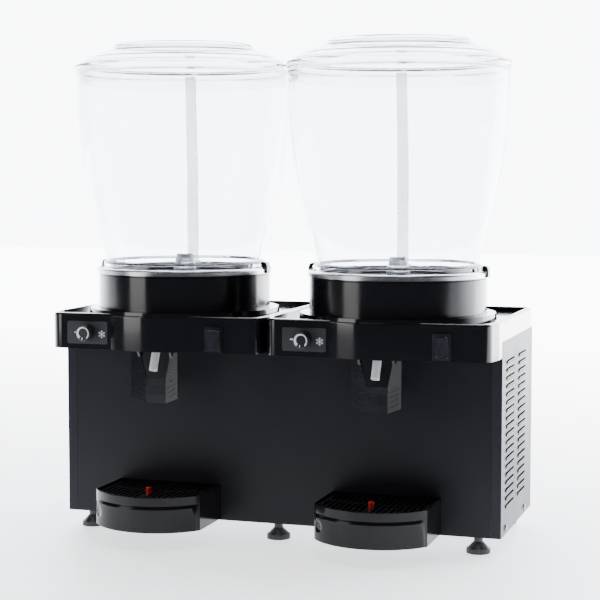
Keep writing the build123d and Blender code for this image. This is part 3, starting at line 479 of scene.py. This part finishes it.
for side in SIDES:
    low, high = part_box(f"tap_lever_{side}")
    middle = axes[side].x
    face_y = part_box("tap_bodies")[0][1] + SPOUT_TO_PAD
    points, faces = [], []
    for k in range(8):
        x = middle + (k - 3.5) * 2.7 * MM
        foot, top = low[2] + (9 + 1.5 * (k % 2)) * MM, low[2] + 21 * MM
        start, end = Vector((x, face_y, foot)), Vector((x, face_y, top))
        made, sides = rib(start, end, ahead, 1.2 * MM, 0.5 * MM)
        faces += [tuple(len(points) + i for i in face) for face in sides]
        points += made
    for hand in (-1, 1):
        wing = Vector((hand * WING[0], -WING[1], 0)).normalized()
        outward = Vector((-hand * WING[1], -WING[0], 0)).normalized()
        corner = Vector((middle + hand * FACET_HALF, face_y, low[2]))
        for k in range(4):
            foot = corner + wing * 3 * MM + Vector((0, 0, (7 + 6.0 * k) * MM))
            tip = corner + wing * 14 * MM + Vector((0, 0, (13 + 6.0 * k) * MM))
            made, sides = rib(foot, tip, outward, 1.5 * MM, 0.5 * MM)
            faces += [tuple(len(points) + i for i in face) for face in sides]
            points += made
    piece(f"lever grip ribs {side}", points, faces, f"tap_lever_{side}_body", lever_black)

# ---------------------------------------------------------------- drip trays
# Gloss black trays hook into the front panel, with a raised panel round the bowed front and a
# finger dimple; the slatted grille drops in, and a red float pops up when the tray is full.
tray_black = coated(
    "tray moulding", (0.005, 0.005, 0.006), 0.14, 160.0, 0.00003, 0.35, 0.006, Specular_IOR_Level=0.2,
)
grille_black = coated("grille moulding", (0.014, 0.014, 0.018), 0.24, 400.0, 0.00004, 0.3, 0.02)
float_red = coated("float red", (0.62, 0.015, 0.012), 0.25, 300.0, 0.00002, 0.2, 0.02)
paint(tray_black, *both("drip_tray"))
paint(grille_black, *both("tray_grille"))
paint(float_red, *both("tray_float"))


def soft_step(value, low, high):
    part = min(1.0, max(0.0, (value - low) / (high - low)))
    return part * part * (3 - 2 * part)


BOW = 36 * MM           # how far the front arc stands out from the straight sides
PANEL_LOW, PANEL_TALL = 1.2 * MM, 31 * MM
PANEL_SKIN, PANEL_PROUD = 0.25, 1.5
DIMPLE = (-0.82, 0.55, 0.1, 0.24)   # its middle and half size, as shares of the panel

for side in SIDES:
    low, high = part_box(f"drip_tray_{side}")
    middle, half = axes[side].x, (high[0] - low[0]) / 2
    radius = (half * half + BOW * BOW) / (2 * BOW)
    hub = low[1] + radius
    widest = atan2(half, radius - BOW)
    across, tall = 72, 24
    points, faces = [], []
    for i in range(across + 1):
        u = -1 + 2 * i / across
        turn = widest * u * 0.985
        for j in range(tall + 1):
            v = j / tall
            height = low[2] + PANEL_LOW + v * PANEL_TALL
            side_edge = soft_step(1 - abs(u), 0.02, 0.07 + 0.14 * v ** 3)
            top_edge = soft_step(1 - v, 0.0, 0.1)
            off_u, off_v = (u - DIMPLE[0]) / DIMPLE[2], (v - DIMPLE[1]) / DIMPLE[3]
            dimple = 1 - 0.8 * soft_step(1 - sqrt(off_u ** 2 + off_v ** 2), 0.0, 0.35)
            out = radius + (PANEL_SKIN + PANEL_PROUD * side_edge * top_edge * dimple) * MM
            points.append((middle + out * sin(turn), hub - out * cos(turn), height))
    for i in range(across):
        for j in range(tall):
            a = i * (tall + 1) + j
            faces.append((a, a + tall + 1, a + tall + 2, a + 1))
    name, body = f"tray front panel {side}", f"drip_tray_{side}_body"
    piece(name, points, faces, body, tray_black, True)

# ---------------------------------------------------------------- floor, light and camera
# A pale table that gives way to a dim floor in front, broad soft lights, and a surround that is
# white behind and dim in front, as in a studio with a black curtain behind the camera.
bpy.ops.mesh.primitive_plane_add(size=14, location=(0, 0, 0))
floor = bpy.context.object
floor.name = "floor"
floor_look = Look("pale table", Roughness=0.5, Emission_Strength=1.0)
depth_in_room = floor_look.node("ShaderNodeSeparateXYZ", {}, {"Vector": floor_look.place()}, "Y")
table = floor_look.spread(depth_in_room, -0.8, -0.36, 0.0, 1.0)
far = floor_look.spread(depth_in_room, 0.2, 2.5, 0.0, 1.0)
clouds = floor_look.spread(floor_look.noise(14.0, 5.0), 0.3, 0.7, 0.97, 1.0)
lit = floor_look.blend(table * clouds, (0.03, 0.03, 0.035), (0.93, 0.94, 0.96))
floor_look.feed("Base Color", lit)
near_glow = floor_look.blend(table * clouds, (0, 0, 0), (1.5, 1.53, 1.57))
floor_look.feed("Emission Color", floor_look.node(
    "ShaderNodeMix", {"data_type": "RGBA"}, {0: far, 6: near_glow, 7: (8.0, 8.2, 8.5, 1)}, 2,
))
floor.data.materials.append(floor_look.material)

world = bpy.data.worlds.new("white surround")
world.use_nodes = True
sky = world.node_tree.nodes["Background"]
sky.inputs["Color"].default_value = (0.9, 0.93, 1.0, 1)
heading = world.node_tree.nodes.new("ShaderNodeTexCoord")
split = world.node_tree.nodes.new("ShaderNodeSeparateXYZ")
fade = world.node_tree.nodes.new("ShaderNodeMapRange")
fade.interpolation_type = "SMOOTHSTEP"
for socket, value in (("From Min", 0.05), ("From Max", 0.85), ("To Min", 0.06), ("To Max", 10.0)):
    fade.inputs[socket].default_value = value
world.node_tree.links.new(heading.outputs["Generated"], split.inputs[0])
world.node_tree.links.new(split.outputs["Y"], fade.inputs["Value"])
world.node_tree.links.new(fade.outputs["Result"], sky.inputs["Strength"])
bpy.context.scene.world = world


def softbox(name, spot, aim, width, height, power):
    light = bpy.data.lights.new(name, "AREA")
    light.shape = "RECTANGLE"
    light.size, light.size_y, light.energy = width, height, power
    lamp = bpy.data.objects.new(name.replace(" ", "_"), light)
    lamp.location = spot
    lamp.rotation_euler = (Vector(aim) - Vector(spot)).to_track_quat("-Z", "Y").to_euler()
    bpy.context.scene.collection.objects.link(lamp)
    return lamp


softbox("back right softbox", (1.15, 1.7, 0.7), (0.1, 0, 0.25), 1.5, 1.6, 40)
softbox("front left softbox", (-1.9, -1.9, 0.75), (0, 0, 0.3), 1.1, 1.6, 20)
softbox("overhead softbox", (0, -0.2, 2.4), (0, 0, 0.3), 1.8, 1.6, 30)

lens = bpy.data.cameras.new("camera")
lens.lens, lens.sensor_width = 96.09, 36.0
camera = bpy.data.objects.new("camera", lens)
camera.location = (0.6239, -1.8924, 0.4496)
toward = Vector((0.03127, -0.0485, 0.29732)) - camera.location
camera.rotation_euler = toward.to_track_quat("-Z", "Y").to_euler()
bpy.context.scene.collection.objects.link(camera)
bpy.context.scene.camera = camera
